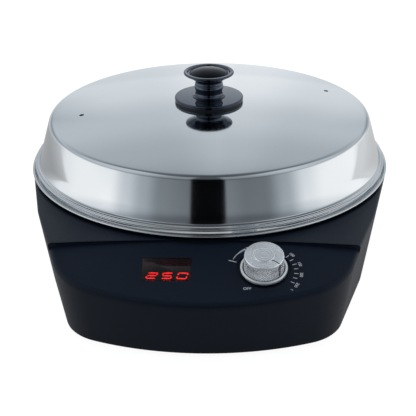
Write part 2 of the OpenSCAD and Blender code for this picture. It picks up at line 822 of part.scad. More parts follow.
// Moulded knob: flared foot, waisted neck and dished cap
cap_floor = 27.6;
module lid_knob() {
    cap_r = cap_d / 2;
    color("#0d0e10") translate([0, 0, knob_z]) difference() {
        rotate_extrude() polygon(concat(
            [[0, 0], [19.8, 0], [19.8, 0.8]],
            arc([20.6, 4.6], 4.2, 262, 190, 5),
            [[16.4, 8], [18.1, 20.5], [20, 22.4], [27, 27.4]],
            arc([cap_r - 1.4, 29.6], 1.4, -60, 90, 6),
            [[cap_r - 3.6, 30.4], [24.6, 29.6], [24.6, cap_floor], [0, cap_floor]]));
        translate([0, 0, -1]) cylinder(r = 2.1, h = 17, $fn = 32);
    }
}

// Polished insert that closes the top of the cap
module knob_button() {
    color("#15171a") translate([0, 0, knob_z + cap_floor]) rotate_extrude() polygon(concat(
        [[0, 0], [23.2, 0], [23.5, 3.4]],
        [for (i = [0:6]) [23.2 * (1 - i / 6), 4.2 + 2.6 * (1 - pow(1 - i / 6, 2))]]));
}

// Screw from inside the lid up into the knob, with its washer, whose rim meets the crown
washer_r = 8;
washer_z = disc_z - lid_t - sheet - skin_fall(washer_r) - 0.01;
module knob_screw() {
    color("silver") translate([0, 0, washer_z]) rotate([180, 0, 0])
        pan_screw(2, knob_z + 13 - washer_z, 4, 2.4);
}

module knob_washer() {
    color("#b0b4b8") translate([0, 0, washer_z]) tube(washer_r, 2.2, sheet);
}

in_frame() housing();
in_frame() base_plate();
in_frame() foot(foot_turns[0]);  // foot_front_left
in_frame() foot(foot_turns[1]);  // foot_front_right
in_frame() foot(foot_turns[2]);  // foot_back_left
in_frame() foot(foot_turns[3]);  // foot_back_right
in_frame() foot_screws();
in_frame() housing_screws();
in_frame() support_posts();
in_frame() post_bolts();
in_frame() heat_shield();
in_frame() insulation_board();
in_frame() griddle_plate();
in_frame() heating_loop(outer_loop_r, outer_start);  // outer_element
in_frame() heating_loop(inner_loop_r, inner_start);  // inner_element
in_frame() element_clamps();
in_frame() clamp_screws();
in_frame() temperature_probe();
in_frame() probe_bracket();
in_frame() thermal_cutout();
in_frame() trim_ring();
in_frame() inlet_socket();
in_frame() inlet_pins();
in_frame() inlet_screws();
in_frame() power_board();
in_frame() power_relay();
in_frame() transformer();
in_frame() terminal_block();
in_frame() board_pillars();
in_frame() board_screws();
in_frame() display_board();
in_frame() display_module();
in_frame() display_digits();
in_frame() display_window();
in_frame() display_screws();
in_frame() dial_control();
in_frame() control_nut();
in_frame() dial_bezel();
in_frame() dial_shaft();
in_frame() temperature_dial();
in_frame() lid_shell();
in_frame() knob_upper_disc();
in_frame() knob_lower_disc();
in_frame() lid_knob();
in_frame() knob_button();
in_frame() knob_screw();
in_frame() knob_washer();
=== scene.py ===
# Electric injera maker: a round hot plate in a low moulded body, under a lift-off steel lid.
# Lengths are written in millimetres, and MM turns them to metres.
import json
import math

import bmesh
import bpy
from mathutils import Matrix, Vector


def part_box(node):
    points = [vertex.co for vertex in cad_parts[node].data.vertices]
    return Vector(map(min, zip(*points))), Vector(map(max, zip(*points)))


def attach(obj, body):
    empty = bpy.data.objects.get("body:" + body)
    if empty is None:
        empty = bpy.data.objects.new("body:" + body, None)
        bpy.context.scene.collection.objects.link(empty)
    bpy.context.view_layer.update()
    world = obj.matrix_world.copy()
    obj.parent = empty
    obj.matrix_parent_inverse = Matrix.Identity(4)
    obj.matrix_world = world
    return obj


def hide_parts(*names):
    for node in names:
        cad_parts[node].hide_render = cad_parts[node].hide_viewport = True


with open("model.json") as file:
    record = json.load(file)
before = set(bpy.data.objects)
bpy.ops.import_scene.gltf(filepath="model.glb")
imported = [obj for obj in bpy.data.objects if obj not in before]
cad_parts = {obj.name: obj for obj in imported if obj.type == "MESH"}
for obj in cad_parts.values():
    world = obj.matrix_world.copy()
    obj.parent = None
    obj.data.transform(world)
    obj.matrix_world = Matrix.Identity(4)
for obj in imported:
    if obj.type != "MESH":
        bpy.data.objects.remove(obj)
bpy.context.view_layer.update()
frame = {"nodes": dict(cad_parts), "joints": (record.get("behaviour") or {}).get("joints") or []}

# Camera
# It stands 1.26 m in front of the lid's axis and 0.64 m above the table, a little to the right,
# and looks down at the lid's crown and the control panel through a long lens.
MM = 0.001
pan_y = sum(corner.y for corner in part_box("lid_shell")) / 2
pan_frame = Matrix.Translation((0, pan_y, 0)) @ Matrix.Scale(MM, 4)
camera = bpy.data.objects.new("camera", bpy.data.cameras.new("camera"))
camera.data.lens = 95.2
heading = math.radians(1.93)
pitch = math.radians(25.63)
roll = math.radians(-0.5)
camera.matrix_world = (
    Matrix.Translation(pan_frame @ Vector((40.2, -1263.5, 637.9)))
    @ Matrix.Rotation(heading, 4, "Z")
    @ Matrix.Rotation(math.pi / 2 - pitch, 4, "X")
    @ Matrix.Rotation(roll, 4, "Z"))
bpy.context.scene.collection.objects.link(camera)
bpy.context.scene.camera = camera
bpy.context.scene.view_settings.view_transform = "Standard"


# Studio
# A pale room with a lit backdrop behind the object, a soft box on each side and a black door in front,
# which polished steel and gloss plastic need to show their shape. A white floor keeps the soft shadow.
def add(tree, kind, inputs=None, **settings):
    """Adds a shader node. An input, by name or number, is given a value or the output to link to it."""
    node = tree.nodes.new("ShaderNode" + kind)
    for name, value in settings.items():
        setattr(node, name, value)
    for name, given in (inputs or {}).items():
        if isinstance(given, bpy.types.NodeSocket):
            tree.links.new(given, node.inputs[name])
        else:
            node.inputs[name].default_value = given
    return node


def angle_band(tree, source, low, high, *stops):
    """Level that eases along an angle in degrees, through pairs of angle and level."""
    span = {"Value": source, "From Min": math.radians(low), "From Max": math.radians(high)}
    node = add(tree, "ValToRGB", {0: add(tree, "MapRange", span).outputs[0]})
    ramp = node.color_ramp
    ramp.interpolation = "EASE"
    while len(ramp.elements) < len(stops):
        ramp.elements.new(0.5)
    for element, (angle, level) in zip(ramp.elements, stops):
        element.position = (angle - low) / (high - low)
        element.color = (level, level, level, 1)
    return node.outputs["Color"]


studio = bpy.data.worlds.new("studio")
studio.use_nodes = True
bpy.context.scene.world = studio
tree = studio.node_tree
ray = add(tree, "SeparateXYZ", {0: add(tree, "TexCoord").outputs["Generated"]}).outputs
# The bearing is 0 towards the camera's side, 90 to the right and 180 behind the object
forward = add(tree, "Math", {0: ray["Y"], 1: -1.0}, operation="MULTIPLY").outputs[0]
bearing = add(tree, "Math", {0: ray["X"], 1: forward}, operation="ARCTAN2").outputs[0]
height = add(tree, "Math", {0: ray["Z"]}, operation="ARCSINE").outputs[0]

# Foot of the walls all round, which the skirt mirrors, dimmer with height
low_walls = angle_band(
    tree, bearing, -180, 180,
    (-180, 0.72), (-160, 0.60), (-140, 0.50), (-126, 0.60), (-108, 0.90), (-92, 0.96), (-78, 0.97),
    (-66, 1.0), (-54, 0.74), (-42, 0.50), (-30, 0.30), (-11.2, 0.24), (-10.2, 0.003), (11.0, 0.003),
    (12.6, 0.29), (26, 0.23), (38, 0.24), (52, 0.49), (67, 0.87), (82, 0.98), (112, 1.0), (132, 0.82),
    (148, 0.50), (164, 0.55), (180, 0.72))
fading = angle_band(
    tree, height, -12, 88, (-11.5, 0.74), (-5, 1), (0, 1), (7, 0.85), (16, 0.5), (36, 0.3))
low_walls = add(tree, "Math", {0: low_walls, 1: fading}, operation="MULTIPLY").outputs[0]

# Front wall, whose middle is a dark door
plain_front = angle_band(
    tree, height, -10, 90,
    (-10, 0.15), (22, 0.15), (34, 0.27), (58, 0.33), (70, 0.13), (80, 0.08), (90, 0.08))
dark_door = angle_band(tree, height, -10, 90, (-10, 0.003), (24, 0.008), (36, 0.05), (50, 0.1), (90, 0.08))
middle = angle_band(tree, bearing, -180, 180, (-14, 0), (-9, 1), (9, 1), (14, 0))
blend = {"Factor": middle, "A": plain_front, "B": dark_door}
front_wall = add(tree, "Mix", blend, data_type="RGBA").outputs[2]

# Soft boxes on both sides
side_wall = angle_band(
    tree, height, -10, 90, (-10, 0.95), (6, 0.92), (15, 0.52), (34, 0.6), (60, 0.6), (74, 0.14), (90, 0.08))
sideways = angle_band(
    tree, bearing, -180, 180, (-130, 0), (-105, 1), (-75, 1), (-22, 0), (22, 0), (75, 1), (105, 1), (130, 0))
blend = {"Factor": sideways, "A": front_wall, "B": side_wall}
near_walls = add(tree, "Mix", blend, data_type="RGBA").outputs[2]

# Lit backdrop, which the crown and the knob's disc mirror, brightest straight behind
back_wall = angle_band(
    tree, height, -10, 90, (-10, 0.80), (7, 0.80), (9, 0.87), (15, 0.86), (26, 0.70), (36, 0.57), (46, 0.42),
    (60, 0.22), (90, 0.08))
pool = angle_band(
    tree, bearing, -180, 180, (-180, 1), (-173, 0.84), (-160, 0.84), (-125, 0.78), (125, 0.75), (160, 0.82),
    (172, 0.85), (178, 0.97))
back_wall = add(tree, "Math", {0: back_wall, 1: pool}, operation="MULTIPLY").outputs[0]
behind = angle_band(tree, bearing, -180, 180, (-125, 1), (-100, 0), (100, 0), (125, 1))
blend = {"Factor": behind, "A": near_walls, "B": back_wall}
high_walls = add(tree, "Mix", blend, data_type="RGBA").outputs[2]

# The low walls reach up to where the high ones take over, except straight behind
above = angle_band(tree, height, -10, 90, (12, 0), (26, 1))
back_low = angle_band(tree, bearing, -180, 180, (-170, 1), (-155, 0), (155, 0), (170, 1))
upper = add(tree, "Math", {0: above, 1: back_low}, operation="MAXIMUM").outputs[0]
level = add(tree, "Mix", {"Factor": upper, "A": low_walls, "B": high_walls}, data_type="RGBA").outputs[2]

# White soft boxes, and bluer light from the dimmer walls between them
brightest = 1.3
dim_tint = (0.81, 0.91, 1.0, 1)
white = (1, 1, 1, 1)
squared = add(tree, "Math", {0: level, 1: level}, operation="MULTIPLY").outputs[0]
tint = add(tree, "Mix", {"Factor": squared, "A": dim_tint, "B": white}, data_type="RGBA").outputs[2]
strength = add(tree, "Math", {0: level, 1: brightest}, operation="MULTIPLY").outputs[0]
glow = add(tree, "Background", {"Color": tint, "Strength": strength}).outputs[0]
plain = add(tree, "Background", {"Color": white, "Strength": 1.0}).outputs[0]
path = add(tree, "LightPath").outputs
rays = {0: path["Is Camera Ray"], 1: path["Is Transmission Ray"]}
seen = add(tree, "Math", rays, operation="MAXIMUM").outputs[0]
both = add(tree, "MixShader", {0: seen, 1: glow, 2: plain}).outputs[0]
tree.links.new(both, tree.nodes["World Output"].inputs["Surface"])

# Lamp and floor are in metres
lamp = bpy.data.objects.new("overhead_soft_box", bpy.data.lights.new("overhead_soft_box", "AREA"))
lamp.data.shape = "RECTANGLE"
lamp.data.size = 1.6
lamp.data.size_y = 0.9
lamp.data.energy = 14
lamp.location = (0, 0.2, 1.9)
lamp.visible_camera = False
lamp.visible_glossy = False
bpy.context.scene.collection.objects.link(lamp)

floor_r = 1.35
bm = bmesh.new()
bmesh.ops.create_circle(bm, segments=96, radius=floor_r, cap_ends=True)
floor = bpy.data.objects.new("floor", bpy.data.meshes.new("floor"))
bm.to_mesh(floor.data)
bm.free()
bpy.context.scene.collection.objects.link(floor)
# White paper: it shows white to the camera and through the window, and as a dimmer pale sheet in metal,
# with painted shade in that sheet, darkest round a place to the left of the object
painted_shade_x = -0.35
painted_shade_r = 0.5
painted_shade_level = 0.32
pale_r = 1.3
pale_level = 0.8
paper_grey = (0.20, 0.20, 0.20, 1)
paper_white = (0.95, 0.95, 0.95, 1)
paper = bpy.data.materials.new("white paper sweep")
paper.use_nodes = True
tree = paper.node_tree
tree.nodes.clear()
path = add(tree, "LightPath").outputs
rays = {0: path["Is Camera Ray"], 1: path["Is Transmission Ray"]}
direct = add(tree, "Math", rays, operation="MAXIMUM").outputs[0]
shift = {0: add(tree, "TexCoord").outputs["Object"], 1: (1, 1, 0), 2: (-painted_shade_x, 0, 0)}
place = add(tree, "VectorMath", shift, operation="MULTIPLY_ADD").outputs[0]
away = add(tree, "VectorMath", {0: place}, operation="LENGTH").outputs["Value"]
# Painted shade in the sheet that metal mirrors: dimmest near a place left of the object, paler further out
span = {"Value": away, "From Min": painted_shade_r, "From Max": pale_r, "To Min": painted_shade_level, "To Max": pale_level}
painted_shade = add(tree, "MapRange", span).outputs[0]
mirrored = add(tree, "Math", {0: path["Is Glossy Ray"], 1: painted_shade}, operation="MULTIPLY").outputs[0]
sheet = add(tree, "Math", {0: direct, 1: mirrored}, operation="MAXIMUM").outputs[0]
matt = add(tree, "BsdfDiffuse", {"Color": paper_grey}).outputs[0]
lit = add(tree, "Emission", {"Color": paper_white, "Strength": sheet}).outputs[0]
mixed = add(tree, "AddShader", {0: matt, 1: lit}).outputs[0]
tree.links.new(mixed, add(tree, "OutputMaterial").inputs["Surface"])
floor.data.materials.append(paper)


# Housing
# One moulding of blue-black ABS: a round back, drawn-in walls, a flat deck and a sloping control panel
# below a bowed step. A rib round the opening is capped by the steel ring.
deck_z = 97
base_z = 5
# Outline seen from above: a round back, a bowed front, and an arc for each side and each front corner,
# whose centres stand side_x or corner_x off the middle
back_r = 217.5
front_y = 312
front_r = 320
corner_r = 70
corner_x = 95
side_x = 60
side_y = 110
side_r = 136
taper = 14
wall = 3
corner_y = math.sqrt((front_r - corner_r) ** 2 - corner_x ** 2) - (front_r - front_y)
front_turn = math.asin(corner_x / (front_r - corner_r))
# The bowed crease parts the deck from the panel
crease_y = 216
crease_r = 1460
crease_z = deck_z - 2.5
slope = math.radians(15.5)
deck_edge_r = 4
bottom_r = 3
panel_edge_r = 6
crease_edge = 1.8
outline_steps = 360


def wall_point(a, inset):
    """Point of the body's outline whose wall faces the direction a, drawn in by an inset."""
    out = Vector((math.cos(a), math.sin(a)))
    if abs(a - 1.5 * math.pi) < front_turn:
        x, y, r = 0, front_r - front_y, front_r
    else:
        rounds = [(0, 0, back_r)]
        rounds += [(s * side_x, -side_y, side_r) for s in (1, -1)]
        rounds += [(s * corner_x, -corner_y, corner_r) for s in (1, -1)]
        x, y, r = max(rounds, key=lambda c: c[0] * out.x + c[1] * out.y + c[2])
    return Vector((x, y)) + out * (r - inset)


def wall_in(z):
    return taper * (deck_z - z) / (deck_z - base_z)


def panel_z(y):
    return crease_z + (y + crease_y) * math.tan(slope)


def directions():
    return [2 * math.pi * i / outline_steps for i in range(outline_steps)]


def wall_ring(z, inset):
    return [wall_point(a, wall_in(z) + inset).to_3d() + Vector((0, 0, z)) for a in directions()]


def panel_ring(depth, inset):
    """Ring that follows the walls at a depth under the panel's plane."""
    ring = []
    for a in directions():
        outer = wall_point(a, 0)
        p = wall_point(a, wall_in(panel_z(outer.y) - depth) + inset)
        ring.append(Vector((p.x, p.y, panel_z(p.y) - depth)))
    return ring


def rounded(r, steps):
    """Pairs of draw-in and drop along a rounded edge, from the wall to the top."""
    turns = [math.pi / 2 * i / steps for i in range(steps + 1)]
    return [(r * (1 - math.cos(t)), r * (1 - math.sin(t))) for t in turns]


def loft(rings):
    """Closed skin over a stack of rings whose points are in the same order."""
    bm = bmesh.new()
    order = bm.verts.layers.int.new("order")
    circle = bmesh.ops.create_circle(bm, segments=len(rings[0]), radius=1, cap_ends=True)["verts"]
    for i, v in enumerate(circle):
        v[order] = i
    cap = bm.faces[:]
    for step, ring in enumerate(rings):
        if step:
            made = bmesh.ops.extrude_face_region(bm, geom=cap)["geom"]
            cap = [f for f in made if isinstance(f, bmesh.types.BMFace)]
        for v in cap[0].verts:
            v.co = ring[v[order]]
    bmesh.ops.recalc_face_normals(bm, faces=bm.faces)
    return bm


def as_object(bm, name):
    made = bpy.data.objects.new(name, bpy.data.meshes.new(name))
    bm.to_mesh(made.data)
    bm.free()
    bpy.context.scene.collection.objects.link(made)
    return made


def combined(bm, tool, operation):
    """The first closed mesh cut by, joined with or kept inside the second one."""
    target = as_object(bm, "target")
    cutter = as_object(tool, "cutter")
    step = target.modifiers.new("step", "BOOLEAN")
    step.operation = operation
    step.object = cutter
    step.solver = "EXACT"
    result = bmesh.new()
    result.from_object(target, bpy.context.evaluated_depsgraph_get())
    bpy.data.objects.remove(target)
    bpy.data.objects.remove(cutter)
    return result


def cylinder(r, low, high, centre=(0, 0), steps=96):
    bm = bmesh.new()
    bmesh.ops.create_cone(bm, cap_ends=True, segments=steps, radius1=r, radius2=r, depth=high - low)
    bmesh.ops.translate(bm, verts=bm.verts, vec=(centre[0], centre[1], (low + high) / 2))
    return bm


def block(w, d, low, high, centre=(0, 0), corner=0):
    """Block with rounded upright edges."""
    bm = bmesh.new()
    bmesh.ops.create_cube(bm, size=1)
    bmesh.ops.scale(bm, verts=bm.verts, vec=(w, d, high - low))
    bmesh.ops.translate(bm, verts=bm.verts, vec=(centre[0], centre[1], (low + high) / 2))
    if corner:
        upright = [e for e in bm.edges if abs(e.verts[0].co.z - e.verts[1].co.z) > 1e-6]
        bmesh.ops.bevel(bm, geom=upright, offset=corner, segments=6, profile=0.5, affect="EDGES", material=-1)
    return bm


def moved(bm, matrix):
    bmesh.ops.transform(bm, matrix=matrix, verts=bm.verts)
    return bm


def piece(name, bm, finish, sharp=35):
    """Object of a finished mesh in metres, smooth but for edges sharper than an angle in degrees."""
    made = as_object(bm, name)
    made.data.materials.append(finish)
    made.data.shade_smooth()
    made.data.set_sharp_from_angle(angle=math.radians(sharp))
    return made


walls = loft(
    [wall_ring(base_z + drop, inset) for inset, drop in reversed(rounded(bottom_r, 4))]
    + [wall_ring(deck_z - drop, inset) for inset, drop in rounded(deck_edge_r, 6)])
# Slab under the panel's plane. Its foot stands outside the walls, so that it trims only their top
panel_depth = 160
cap_foot_in = wall_in(deck_z - panel_edge_r) - wall_in(deck_z - panel_depth) - 0.1
cap = loft(
    [panel_ring(panel_depth, cap_foot_in)]
    + [panel_ring(drop, inset - 0.02) for inset, drop in rounded(panel_edge_r, 8)])
# Tools that cut the body reach past it on every side and above it
beyond = 600
over = 200
rear = combined(
    block(beyond, beyond, -1, over, (0, 240 - crease_y)),
    cylinder(crease_r, -2, over + 100, (0, -crease_y - crease_r), 1440), "DIFFERENCE")
body = combined(walls, combined(rear, cap, "UNION"), "INTERSECT")
crease_centre = Vector((0, -crease_y - crease_r))
crease = [
    e for e in body.edges
    if all(abs(v.co.z - deck_z) < 0.01 and abs((v.co.to_2d() - crease_centre).length - crease_r) < 0.05
           for v in e.verts)]
bmesh.ops.bevel(body, geom=crease, offset=crease_edge, segments=5, profile=0.5, affect="EDGES", material=-1)

# The panel's own frame is centred on the dial: x across, y up the slope, z out of the panel. Places down
# the panel are measured from the crease
dial_joint = next(j for j in frame["joints"] if j["name"] == "dial_turn")
dial_x = dial_joint["pos_m"][0] / MM
dial_v = 40.5
dial_spot = Vector((dial_x, -crease_y - dial_v * math.cos(slope), crease_z - dial_v * math.sin(slope)))
on_panel = Matrix.Translation(dial_spot) @ Matrix.Rotation(slope, 4, "X")
window_x = -38
window_v = 42
window_at = (window_x - dial_x, dial_v - window_v)
window_w = 52
window_d = 34
window_corner = 2
window_gap = 0.2

ring_z = deck_z + 2
ledge_z = ring_z + 7.1
strip_t = 1.2
rib_r = 210
rib_z = ledge_z - strip_t
opening_r = 205.5
round_steps = 256
lip_in = 21
lip_z = base_z + 3
cut_top = 3
body = combined(body, cylinder(rib_r, deck_z - 2, rib_z, steps=round_steps), "UNION")
cavity = loft([wall_ring(base_z - 1, lip_in), wall_ring(lip_z, lip_in)])
body = combined(body, cavity, "DIFFERENCE")
hollow = loft([wall_ring(lip_z - 0.1, wall), wall_ring(deck_z - wall, wall + 1)])
above_panel = moved(block(800, beyond, -wall, over, (0, -100)), on_panel)
body = combined(body, combined(hollow, above_panel, "DIFFERENCE"), "DIFFERENCE")
body = combined(body, cylinder(opening_r, deck_z - 12, deck_z + 20, steps=round_steps), "DIFFERENCE")

# A low pad under the dial with a hole for its shaft, a recess for the window, and the opening behind it
pad_r = 28.5
pad_h = 0.8
shaft_hole_r = 4.7
pad = cylinder(pad_r, -1, pad_h, steps=128)
pad_edge = [e for e in pad.edges if all(v.co.z > 0 for v in e.verts)]
bmesh.ops.bevel(pad, geom=pad_edge, offset=0.5, segments=3, profile=0.5, affect="EDGES", material=-1)
body = combined(body, moved(pad, on_panel), "UNION")
recess_size = (window_w + 2 * window_gap, window_d + 2 * window_gap)
recess = block(*recess_size, -2, cut_top, window_at, window_corner + window_gap)
body = combined(body, moved(recess, on_panel), "DIFFERENCE")
opening = block(window_w - 3, window_d - 5, -wall - 2, cut_top, window_at, 1)
body = combined(body, moved(opening, on_panel), "DIFFERENCE")
body = combined(body, moved(cylinder(shaft_hole_r, -wall - 2, cut_top, steps=48), on_panel), "DIFFERENCE")

# Flat pad for the inlet in the round back, with its opening
inlet_z = 46
inlet_y = back_r - 5
inlet_pad_w = 68
inlet_pad_rise = 19
inlet_hole_w = 27.6
inlet_hole_rise = 10.3
inlet_pad = block(inlet_pad_w, 14, inlet_z - inlet_pad_rise, inlet_z + inlet_pad_rise, (0, inlet_y - 7))
inlet_hole = block(inlet_hole_w, 30, inlet_z - inlet_hole_rise, inlet_z + inlet_hole_rise, (0, inlet_y - 10))
body = combined(combined(body, inlet_pad, "UNION"), inlet_hole, "DIFFERENCE")


def linear(colour, alpha=1.0):
    """Linear colour of an sRGB hex value such as "#1c232b"."""
    parts = [int(colour[i:i + 2], 16) / 255 for i in (1, 3, 5)]
    return tuple(c / 12.92 if c <= 0.04045 else ((c + 0.055) / 1.055) ** 2.4 for c in parts) + (alpha,)


def material(name, colour, values=None):
    """Material whose shader has these values on its own sockets."""
    made = bpy.data.materials.new(name)
    made.use_nodes = True
    shader = made.node_tree.nodes["Principled BSDF"]
    shader.inputs["Base Color"].default_value = linear(colour)
    for socket, value in (values or {}).items():
        shader.inputs[socket].default_value = value
    return made


def grain(made, size, depth):
    """Bump of a noise whose grain and depth are in millimetres."""
    tree = made.node_tree
    place = add(tree, "TexCoord").outputs["Object"]
    noise = add(tree, "TexNoise", {"Vector": place, "Scale": 1 / (size * MM), "Detail": 3.0})
    bump = add(tree, "Bump", {"Height": noise.outputs[0], "Distance": depth * MM})
    tree.links.new(bump.outputs[0], tree.nodes["Principled BSDF"].inputs["Normal"])
    return noise.outputs[0]


def vary(made, pattern, socket, low, high):
    """Lets a pattern move a socket between two values."""
    tree = made.node_tree
    span = {"Value": pattern, "From Min": 0.3, "From Max": 0.7, "To Min": low, "To Max": high}
    tree.links.new(add(tree, "MapRange", span).outputs[0], tree.nodes["Principled BSDF"].inputs[socket])


# ABS, moulded in a finely etched tool: dark, satin, with wide soft highlights
abs_plastic = material(
    "moulded ABS", "#0c1420", {"Specular IOR Level": 0.26, "Specular Tint": linear("#dde9ff")})
etched = grain(abs_plastic, 0.9, 0.02)
vary(abs_plastic, etched, "Roughness", 0.40, 0.50)
housing = piece("moulded_housing", moved(body, pan_frame), abs_plastic, 30)
housing.modifiers.new("even_normals", "WEIGHTED_NORMAL").keep_sharp = True
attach(housing, "base")
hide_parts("housing")


# Base plate
# Pressed steel sheet with rows of cooling slots, powder coated dark grey and screwed to bosses in the
# housing.
def dress(finish, *nodes):
    """Gives CAD nodes their finish."""
    for node in nodes:
        frame["nodes"][node].material_slots[0].material = finish


powder = material("powder coated steel", "#2b2d30", {"Roughness": 0.6})
grain(powder, 1.2, 0.05)
dress(powder, "base_plate")

# Feet
# Moulded rubber, matt, each held by a sunk screw and a nut inside the base plate.
rubber = material("moulded rubber", "#151515", {"Roughness": 0.85, "Specular IOR Level": 0.3})
grain(rubber, 0.8, 0.03)
dress(rubber, "foot_front_left", "foot_front_right", "foot_back_left", "foot_back_right")

# Screws, bolts and small brackets
# Pressed and turned steel with a thin bright zinc plating.
zinc = material("zinc plated steel", "#b9bcc0", {"Metallic": 1.0, "Roughness": 0.35})
plated = grain(zinc, 2.5, 0.01)
vary(zinc, plated, "Roughness", 0.28, 0.45)
dress(zinc, "foot_screws", "housing_screws", "post_bolts", "board_screws", "board_pillars", "display_screws",
      "inlet_screws", "clamp_screws", "element_clamps", "support_posts", "probe_bracket", "knob_screw",
      "knob_washer", "control_nut", "dial_control")

# Heat shield and insulation
# A pressed dish of aluminised steel, pale and dull, turns the heat upwards, and a board of cream ceramic
# fibre lies in it.
aluminised = material("aluminised steel", "#c2c4c6", {"Metallic": 1.0, "Roughness": 0.4})
grain(aluminised, 6, 0.02)
dress(aluminised, "heat_shield")
fibre = material("ceramic fibre board", "#e6e1d3", {"Roughness": 0.95})
grain(fibre, 1.5, 0.3)
dress(fibre, "insulation_board")

# Heating elements, sensor and safety thermostat
# Steel tubes round a resistance wire, darkened brown by heat, with a bright sensor capsule pressed to the
# plate and a thermostat in a cream glazed case.
sheath = material("heat-darkened sheath", "#6d675f", {"Metallic": 1.0, "Roughness": 0.45})
grain(sheath, 3, 0.03)
dress(sheath, "outer_element", "inner_element")
capsule = material("stainless capsule", "#c8c9ca", {"Metallic": 1.0, "Roughness": 0.25})
grain(capsule, 2, 0.01)
dress(capsule, "temperature_probe")
ceramic = material("glazed ceramic", "#d2cdbd", {"Roughness": 0.3})
grain(ceramic, 3, 0.02)
dress(ceramic, "thermal_cutout")

# Hot plate
# Cast aluminium, turned flat on top and coated with a dark non-stick film that has a fine speckle.
film = material("non-stick film", "#1d1e20", {"Specular IOR Level": 0.5})
speckle = grain(film, 1.6, 0.04)
vary(film, speckle, "Roughness", 0.32, 0.46)
dress(film, "griddle_plate")

# Steel ring
# Stainless strip rolled to an edge bead, pressed over the housing's rib, and polished. The lid stands on
# it.
plate_top = ring_z + 3
ring_r = 218
ring_wall_r = 212.8
ring_in_r = 205.2
foot_in_r = 200.6
fold_r = 1.6
bead_r = 1.7
gutter_r = 1.6


def arc(cx, cz, r, start, end, steps=8):
    """Points of an arc, as pairs of radius and height."""
    turns = [math.radians(start + (end - start) * i / steps) for i in range(steps + 1)]
    return [(cx + r * math.cos(t), cz + r * math.sin(t)) for t in turns]


def turned(profile, steps=192, closed=False):
    """Round body from pairs of radius and height."""
    bm = bmesh.new()
    points = [bm.verts.new((r, 0, z)) for r, z in profile]
    pairs = list(zip(points, points[1:] + points[:1]))
    edges = [bm.edges.new(pair) for pair in (pairs if closed else pairs[:-1])]
    bmesh.ops.spin(bm, geom=points + edges, axis=(0, 0, 1), cent=(0, 0, 0), angle=2 * math.pi, steps=steps,
                   use_merge=True)
    bmesh.ops.remove_doubles(bm, verts=bm.verts, dist=1e-4)
    bmesh.ops.recalc_face_normals(bm, faces=bm.faces)
    return bm


bead = (ring_r - bead_r, ring_z + 2)
gutter = (ring_wall_r + gutter_r, ring_z + 3.2)
edge = (ring_wall_r - strip_t, ledge_z - strip_t)
fold = (205.6, ledge_z - fold_r)
ring = turned(
    [(foot_in_r, plate_top - 1.5), (ring_in_r, plate_top - 1.5), (ring_in_r, edge[1]), edge]
    + arc(*gutter, gutter_r + strip_t, 180, 250, 10) + arc(*bead, bead_r, 240, 545, 32)
    + [(ring_wall_r + 0.5, ring_z + 1.5), (ring_wall_r, ring_z + 2.1)] + arc(*edge, strip_t, 0, 90, 8)
    + arc(*fold, fold_r, 90, 180, 8) + [(fold[0] - fold_r, plate_top - 0.5), (foot_in_r, plate_top - 0.5)],
    360, closed=True)
# Stainless steel, spun and mirror polished: sharp reflections, a little softer where the buffing was lighter
polished = material("polished stainless", "#d3d6d8", {"Metallic": 1.0, "Roughness": 0.08})
buffed = grain(polished, 40, 0.002)
vary(polished, buffed, "Roughness", 0.06, 0.09)
steel_ring = piece("polished_ring", moved(ring, pan_frame), polished, 40)
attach(steel_ring, "base")
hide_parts("trim_ring")

# Power inlet
# A moulded appliance socket, satin black, screwed to the rear pad, with three warm grey nickel-plated pins
# in its recess.
nylon = material("moulded nylon", "#161719", {"Roughness": 0.5})
grain(nylon, 0.8, 0.02)
dress(nylon, "inlet_socket")
nickel = material("nickel plated brass", "#d6cbaf", {"Metallic": 1.0, "Roughness": 0.25})
grain(nickel, 1.5, 0.01)
dress(nickel, "inlet_pins")

# Circuit boards and their parts
# Green boards on pillars, with a blue relay, a small transformer in amber tape and a green terminal block
# for the wiring.
mask = material("green solder mask", "#1f5a34", {"Roughness": 0.35})
grain(mask, 2, 0.02)
dress(mask, "power_board", "display_board")
relay = material("relay case", "#1f4f96", {"Roughness": 0.4})
grain(relay, 1.5, 0.01)
dress(relay, "power_relay")
tape = material("winding tape", "#c9a33a", {"Roughness": 0.45})
grain(tape, 2, 0.03)
dress(tape, "transformer")
terminal = material("terminal nylon", "#3c7f55", {"Roughness": 0.55})
grain(terminal, 1.2, 0.02)
dress(terminal, "terminal_block")

# Display
# A module of seven-segment figures sits behind a window set flush in the panel. It shows a plain cooking
# temperature.
# Acrylic, cast in a smoked red: glossy and dark, so that little but the lit figures shows through
smoked = material("smoked acrylic", "#3c161c", {"Roughness": 0.06, "Transmission Weight": 1.0, "IOR": 1.49})
grain(smoked, 5, 0.003)
pane_low = -2
pane_high = -0.15
window = block(window_w, window_d, pane_low, pane_high, window_at, window_corner)
top_edge = [e for e in window.edges if all(v.co.z > pane_high - 0.05 for v in e.verts)]
bmesh.ops.bevel(window, geom=top_edge, offset=0.4, segments=3, profile=0.5, affect="EDGES", material=-1)
pane = piece("display_pane", moved(window, pan_frame @ on_panel), smoked)
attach(pane, "base")
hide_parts("display_window")

face_h = -3.4
case_low = -11
case = block(window_w - 4, window_d - 6, case_low, face_h, window_at, 0.6)
# Filled resin, moulded: dull and almost black
potting = material("black module case", "#120a0b", {"Roughness": 0.6})
grain(potting, 0.8, 0.01)
module = piece("figure_module", moved(case, pan_frame @ on_panel), potting)
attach(module, "base")
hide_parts("display_module")

figure_w = 11.4
figure_h = 9.4
figure_pitch = 15.8
figure_lean = math.tan(math.radians(14))
figure_left = -59.5 - dial_x
figure_low = dial_v - 53.9
bar_t = 1.7
bar_gap = 0.5
glow_reach = 0.7
shown = "250"
